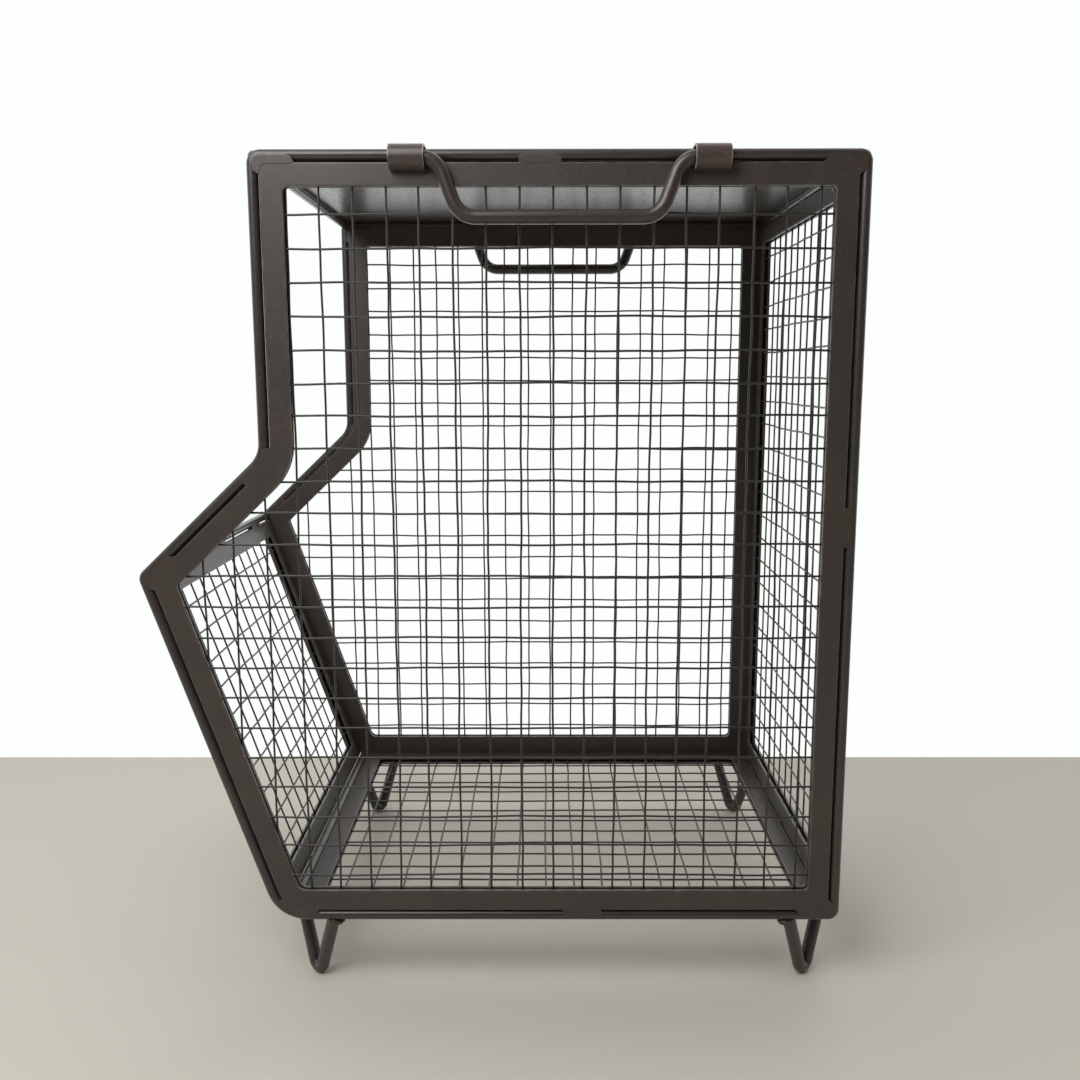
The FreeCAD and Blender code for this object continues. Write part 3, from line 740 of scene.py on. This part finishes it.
def ground_weld(plane, centre, behind, ahead, random):
    """Surface of a ground weld along the side outline, from behind the place nearest to centre to
    ahead of it.  Every column keeps its own distance inside the outline, and each row is drawn in
    towards its middle by the taper."""
    profile, _ = bar_profile(WELD_INNER - WELD_OUTER, 2 * ROD_RADIUS, WELD_ROUND)
    distances = (WELD_OUTER + WELD_INNER) / 2 + profile[:, 0]
    loops = np.stack([side_loop(distance, arc_count=15) for distance in distances], axis=1)
    nearest = np.argmin(np.linalg.norm(loops.mean(axis=1) - centre, axis=1))
    start = len(loops) // 2
    loops = np.roll(loops, start - nearest, axis=0)
    steps = np.linalg.norm(np.diff(loops.mean(axis=1), axis=0), axis=1)
    along = np.concatenate([[0.0], np.cumsum(steps)])
    count = int((behind + ahead) / WELD_STEP) + 2
    places = np.linspace(along[start] - behind, along[start] + ahead, count)
    row = np.clip(np.interp(places, along, np.arange(len(along))), 0, len(along) - 1.001)
    whole = row.astype(int)
    share = (row - whole)[:, None, None]
    rows = loops[whole] * (1 - share) + loops[whole + 1] * share
    middle_line = rows.mean(axis=1, keepdims=True)
    rows = middle_line + (rows - middle_line) * tapered(count, random)[:, None, None]
    depth = HALF_WIDTH - ROD_RADIUS + WELD_PROUD + profile[:, 1]
    grid = lift(plane, rows[..., 0], rows[..., 1], depth[None, :])
    grid += ripple(grid)[..., None] * plane[3]
    return skin(grid[None])


def lumps_at(centres, random, largest, spread):
    """Surface of round weld lumps and spatter scattered about some centres."""
    centres = np.repeat(np.asarray(centres), LUMPS_PER_SPOT, axis=0)
    centres = centres + random.normal(0, spread, centres.shape)
    sizes = largest * random.uniform(0.3, 1.0, (len(centres), 1)) ** 1.6
    squash = sizes * random.uniform(0.7, 1.0, centres.shape)
    return balls(centres, np.eye(3), squash, ball(rows=6, columns=8))


# %% Ground welds of the side frames
WELD_OUTER = ROD_RADIUS - 0.4 * MM
WELD_INNER = STRIP_EDGE + 1.4 * MM
slot_corners = inset(side_corners, STRIP_EDGE - SLOT_GAP / 2)
corner_reaches = [(SHORT_REACH, LONG_REACH), (LONG_REACH, SHORT_REACH)] * 3
long_sides = [slot_corners[index] + (slot_corners[index + 1] - slot_corners[index]) * SIDE_WELD_PLACE
              for index in (TOE, HEEL, CROWN)]
top_length = np.linalg.norm(slot_corners[BROW] - slot_corners[CROWN])
for seed, (side, plane) in enumerate(side_planes.items(), start=51):
    random = np.random.default_rng(seed)
    pieces = [ground_weld(plane, corner, *reaches, random)
              for corner, reaches in zip(slot_corners, corner_reaches)]
    top_weld = HALF_WELD if side == "right" else top_length / 2
    pieces += [ground_weld(plane, place, reach, reach, random)
               for place, reach in zip(long_sides, (HALF_WELD, HALF_WELD, top_weld))]
    make_piece(f"{side}_ground_welds", join(pieces), ground_enamel, "frame",
               [f"{side}_frame_welds"])
    inner_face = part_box("right_inner_strip")[0].x
    spots = [lift(plane, *place, inner_face + 0.8 * MM) for place in [*slot_corners, *long_sides]]
    make_piece(f"{side}_weld_lumps", lumps_at(spots, random, 1.5 * MM, 1.6 * MM), weld_enamel, "frame")

# %% [markdown]
# The back, floor and scoop are tied to the frame by shorter welds across their slots.  Each is a
# rounded bar along the slot's middle line, with lumps on the side that faces the goods.

# %% Welds of the panels
BRIDGE_WIDTH = 3.0 * MM
BRIDGE_THICK = 2 * ROD_RADIUS - 0.5 * MM
BRIDGE_ROUND = 0.8 * MM
BRIDGE_WEAR = 0.4
WELD_SHARES = (0.15, 0.5, 0.85)
rod_welds = {"floor": ["far"], "back": ["near", "far"], "scoop": ["near"]}


def bridge(path, plane, random):
    """Surface of one weld bridge along a path in a panel's plane."""
    profile, edge_wear_and_highlight = bar_profile(BRIDGE_THICK, BRIDGE_WIDTH, BRIDGE_ROUND)
    line = lift(plane, path[:, 0], path[:, 1], 0.0)
    grid = carry(line, plane[3], profile, tapered(len(path), random))
    return skin(grid[None], edge_wear_and_highlight=BRIDGE_WEAR * edge_wear_and_highlight)


for seed, (name, panel) in enumerate(panels.items(), start=61):
    random = np.random.default_rng(seed)
    low, high, half = panel["low"], panel["high"], panel["half"]
    stretches = []
    steps = np.linspace(-HALF_WELD, HALF_WELD, int(2 * HALF_WELD / WELD_STEP) + 2)
    for share in WELD_SHARES:
        v = low + share * (high - low)
        for u in (-half - SLOT_GAP / 2, half + SLOT_GAP / 2):
            stretches.append(np.stack([np.full(len(steps), u), v + steps], axis=1))
        u = 2 * half * (share - 0.5)
        for rod_end, v in (("near", low - SLOT_GAP / 2), ("far", high + SLOT_GAP / 2)):
            if rod_end in rod_welds[name]:
                stretches.append(np.stack([u + steps, np.full(len(steps), v)], axis=1))
    bridges = [bridge(path, panel["plane"], random) for path in stretches]
    spots = [lift(panel["plane"], *path[len(path) // 2], ROD_RADIUS - 0.6 * MM) for path in stretches]
    bridges.append(lumps_at(spots, random, 1.1 * MM, 1.3 * MM))
    make_piece(f"{name}_weld_bridges", join(bridges), weld_enamel, "frame", [f"{name}_welds"])

# %% [markdown]
# ## Beads round the rod ends and the feet
#
# Where a cross rod meets a side frame, and where each leg of a foot meets the bottom, the weld
# runs right round the rod.  Its surface is a chain of overlapping drops.  A ring of round profile
# does this, with its size rising and falling once for each drop.  On the feet the welder had to
# work from inboard, so the beads and a few lumps are set a little that way.

# %% Ring beads
FOOT_RADIUS = 4.1 * MM
FOOT_SPREAD = 27.0 * MM
DROP_SPACING = 2.2 * MM
BLOB_SHIFT = 1.5 * MM


def bead_ring(centre, axis, ring_radius, bead_radius, random):
    """Surface of a bead round a rod: a ring whose thickness is bead_radius times 0.85 plus 0.15
    times the size of the sine of its drops."""
    axis = unit(np.asarray(axis, float))
    first = unit(np.cross(axis, [0.31, 0.74, 0.6]))
    second = np.cross(axis, first)
    turn = np.linspace(0, 2 * np.pi, 40, endpoint=False)
    drops = max(6, round(2 * np.pi * ring_radius / DROP_SPACING))
    outwards = np.cos(turn)[:, None] * first + np.sin(turn)[:, None] * second
    size = 0.85 + 0.15 * np.abs(np.sin(turn * drops / 2 + random.uniform(0, np.pi)))
    size *= 1 + 0.12 * np.sin(2 * turn + random.uniform(0, 2 * np.pi))
    profile = circle(bead_radius, 10)
    grid = (centre + ring_radius * outwards)[:, None] + size[:, None, None] * (
        profile[None, :, :1] * outwards[:, None] + profile[None, :, 1:] * axis)
    return skin(grid[None], closed_rows=True)


random = np.random.default_rng(71)
rod_rings = []
for node in ("top_front_rod", "top_back_rod", "bottom_back_rod", "bottom_front_rod", "lip_rod"):
    for direction in (-1, 1):
        centre = np.array([direction * (HALF_WIDTH - 2 * ROD_RADIUS + 0.2 * MM), *middle(node)])
        rod_rings.append(bead_ring(centre, X_AXIS, ROD_RADIUS - 0.8 * MM, 0.9 * MM, random))
make_piece("rod_end_beads", join(rod_rings), weld_enamel, "frame")

foot_rings = []
foot_spots = []
for direction in (-1, 1):
    leg_x = direction * (HALF_WIDTH - FOOT_RADIUS)
    for cross_y, step in ((toe_rod[0], 1), (BACK_Y - FOOT_RADIUS, -1)):
        bottom = np.array([leg_x - direction * FOOT_SPREAD / 2, cross_y + step * FOOT_SPREAD / 2,
                           FOOT_RADIUS])
        for top_x, top_y in ((leg_x, cross_y + step * FOOT_SPREAD),
                             (leg_x - direction * FOOT_SPREAD, cross_y)):
            top = np.array([top_x, top_y, BASE_Z - 0.8 * MM])
            spot = top - [direction * BLOB_SHIFT, -step * BLOB_SHIFT, 0]
            foot_rings.append(bead_ring(spot, top - bottom, FOOT_RADIUS - 0.5 * MM, 1.9 * MM, random))
            foot_spots.append(spot)
foot_rings.append(lumps_at(foot_spots, random, 2.4 * MM, 1.4 * MM))
make_piece("foot_beads", join(foot_rings), weld_enamel, "frame")

# %% [markdown]
# ## Clips
#
# Each handle end turns in a clip of 20 mm strap, bent over it like half a barrel.  Its top tab is
# welded to the rim rod and its tail stands on the side strip.  Shearing leaves the strap's edges
# slightly round, so a rounded bar profile is carried along the strap's middle line.  Its edges get a
# strong pale colour: partly thin paint, and partly a painted highlight where they catch the floor's
# light.

# %% Clips
STRAP_THICK = 1.3 * MM
STRAP_ROUND = 0.3 * MM
joint_places = {joint["child"]: joint["pos_m"] for joint in frame["record"]["behaviour"]["joints"]}


def strap_line(pivot_x, pivot_z, radius, tab_x, tail_x):
    """Middle line of a strap: along the top, half way round the pivot, and back to the side."""
    angles = np.linspace(np.pi / 2, -np.pi / 2, 17)
    arc = np.stack([pivot_x + radius * np.cos(angles), pivot_z + radius * np.sin(angles)], axis=1)
    tab = np.linspace([tab_x, pivot_z + radius], arc[0], 6)[:-1]
    tail = np.linspace(arc[-1], [tail_x, pivot_z - radius], 4)[1:]
    return np.concatenate([tab, arc, tail])


for side, mirror in (("right", 1), ("left", -1)):
    pivot_x, _, pivot_z = joint_places[f"{side}_handle"]
    for end in ("front", "back"):
        low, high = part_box(f"right_{end}_clip")
        line = strap_line(abs(pivot_x), pivot_z, high.z - pivot_z - STRAP_THICK / 2, low.x, HALF_WIDTH)
        path = np.stack([mirror * line[:, 0], np.full(len(line), (low.y + high.y) / 2), line[:, 1]],
                        axis=1)
        # The strap's edge marks place its painted highlight as well as its thin paint.
        profile, edge_wear_and_highlight = bar_profile(high.y - low.y, STRAP_THICK, STRAP_ROUND)
        surface = skin(carry(path, Y_AXIS, profile)[None], edge_wear_and_highlight=edge_wear_and_highlight)
        make_piece(f"{side}_{end}_strap", surface, strap_enamel_with_painted_highlight, "frame",
                   [f"{side}_{end}_clip"])

# %% [markdown]
# ## Top sheet
#
# The top is 1 mm sheet, tacked to the rods and flush with their tops.  Thin sheet that was welded
# at its edges is never flat: heat pulls it into shallow waves, and the satin paint shows them as
# soft bands.  A flat bar profile is carried across the bin and its middle is let down by sines
# that vanish at the edges.

# %% Top sheet
SHEET_COLUMNS = 49
SHEET_ROWS = 41
SHEET_SAG = 0.5 * MM
sheet_low, sheet_high = (np.array(corner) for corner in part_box("top_sheet"))
sheet_size = sheet_high - sheet_low
edge_share = np.linspace(0.5, -0.5, SHEET_COLUMNS)
upper = np.stack([edge_share * sheet_size[1], np.full(SHEET_COLUMNS, sheet_size[2] / 2)], axis=1)
sheet_profile = np.concatenate([upper, -upper])
sheet_middle = (sheet_low + sheet_high) / 2
sheet_path = np.linspace(sheet_middle - X_AXIS * sheet_size[0] / 2,
                         sheet_middle + X_AXIS * sheet_size[0] / 2, SHEET_ROWS)
sheet_grid = carry(sheet_path, Y_AXIS, sheet_profile)
share_x = (sheet_grid[..., 0] - sheet_low[0]) / sheet_size[0]
share_y = (sheet_grid[..., 1] - sheet_low[1]) / sheet_size[1]
sag = np.sin(np.pi * share_x) * np.sin(np.pi * share_y)
waves = 1 + 0.5 * np.sin(5 * np.pi * share_x) * np.sin(4 * np.pi * share_y)
sheet_grid[..., 2] -= SHEET_SAG * sag * waves
make_piece("top_sheet_skin", skin(sheet_grid[None]), sheet_enamel, "frame", ["top_sheet"])

# %% [markdown]
# ## Round rods that stay as CAD made them
#
# Rim rods, cross rods, handles and feet are plain bent rod, and the CAD surfaces are right.  They
# only take their finish.  The handles get the rubbed one, because hands polish them.

# %% Finishes of the kept rods
for node, piece in frame["nodes"].items():
    if node.endswith("_rod") or node.endswith("_foot"):
        finish = rod_enamel
    elif node.endswith("_handle"):
        finish = handle_enamel
    else:
        continue
    piece.data.materials.clear()
    piece.data.materials.append(finish)

# %% [markdown]
# ## Floor, light and camera
#
# The bin is dark and open, so it reads best against white.  The floor is a plain pale sheet that
# ends a hand's width behind the bin, and beyond it there is only white.  What lights the bin is
# another matter: the white beyond it is strong, the camera's side is dim, and one soft lamp hangs
# close above the camera's side, a little to the left.  The lamp is near, so its light falls off
# towards the feet, and the near side stays dark with soft highlights along its rods.  The world
# can be white to look at and dim to be lit by, because its strength is mixed by whether a ray
# comes straight from the camera.

# %% Floor
FLOOR_BACK = -260.0 * MM
FLOOR_REACH = 3.0
floor_mesh = bpy.data.meshes.new("studio_floor")
floor_mesh.from_pydata([(FLOOR_BACK, -FLOOR_REACH, 0), (FLOOR_REACH, -FLOOR_REACH, 0),
                        (FLOOR_REACH, FLOOR_REACH, 0), (FLOOR_BACK, FLOOR_REACH, 0)], [], [(0, 1, 2, 3)])
floor = bpy.data.objects.new("studio_floor", floor_mesh)
bpy.context.scene.collection.objects.link(floor)
floor_paint = bpy.data.materials.new("pale_matt_floor")
floor_paint.use_nodes = True
floor_shader = floor_paint.node_tree.nodes["Principled BSDF"]
floor_shader.inputs["Base Color"].default_value = linear("#cbc4b9")
floor_shader.inputs["Roughness"].default_value = 0.75
floor_mesh.materials.append(floor_paint)

# %% Sky
FRONT_SKY = 0.08
BACK_SKY = 1.3
WHITE = 1.05
world = bpy.data.worlds.new("studio_sky")
world.use_nodes = True
bpy.context.scene.world = world
bpy.context.scene.view_settings.view_transform = "Standard"
sky_tree = world.node_tree
background = sky_tree.nodes["Background"]
direction = add_node(sky_tree, "ShaderNodeTexCoord").outputs["Generated"]
separate = add_node(sky_tree, "ShaderNodeSeparateXYZ", links={"Vector": direction})
lighting = ramp(sky_tree, separate.outputs["X"], 0.5, -0.5, FRONT_SKY, BACK_SKY)
looking = add_node(sky_tree, "ShaderNodeLightPath").outputs["Is Camera Ray"]
strength = add_node(sky_tree, "ShaderNodeMix", values={"B": WHITE},
                    links={"Factor": looking, "A": lighting})
sky_tree.links.new(strength.outputs[0], background.inputs["Strength"])
background.inputs["Color"].default_value = linear("#f7faf8")


def soft_lamp(name, place, target, size, power):
    """A square soft lamp that faces a target."""
    lamp = bpy.data.lights.new(name, "AREA")
    lamp.size = size
    lamp.energy = power
    lamp_object = bpy.data.objects.new(name, lamp)
    bpy.context.scene.collection.objects.link(lamp_object)
    lamp_object.location = place
    lamp_object.rotation_euler = (Vector(target) - Vector(place)).to_track_quat("-Z", "Y").to_euler()


soft_lamp("key_lamp", place=(0.6, -0.35, 0.9), target=(0, 0, 0.42), size=0.6, power=6.3)

# %% Camera
FOCAL_SHARE = 0.9732
CAMERA_DISTANCE = 616.7 * MM
CAMERA_Y = 28.1 * MM
CAMERA_Z = BASE_Z + 340.5 * MM
PITCH_DOWN, YAW, ROLL = (math.radians(angle) for angle in (8.97, -0.17, -0.07))
camera = bpy.data.cameras.new("camera")
camera.sensor_width = 36.0
camera.lens = FOCAL_SHARE * camera.sensor_width
camera.clip_start = 0.01
camera_object = bpy.data.objects.new("camera", camera)
bpy.context.scene.collection.objects.link(camera_object)
forward = Vector((-math.cos(PITCH_DOWN) * math.cos(YAW), math.cos(PITCH_DOWN) * math.sin(YAW),
                  -math.sin(PITCH_DOWN)))
level_right = Vector((math.sin(YAW), math.cos(YAW), 0))
level_up = level_right.cross(forward)
right = math.cos(ROLL) * level_right + math.sin(ROLL) * level_up
up = math.cos(ROLL) * level_up - math.sin(ROLL) * level_right
aim = Matrix((right, up, -forward)).transposed().to_4x4()
aim.translation = Vector((HALF_WIDTH + CAMERA_DISTANCE, CAMERA_Y, CAMERA_Z))
camera_object.matrix_world = aim
bpy.context.scene.camera = camera_object
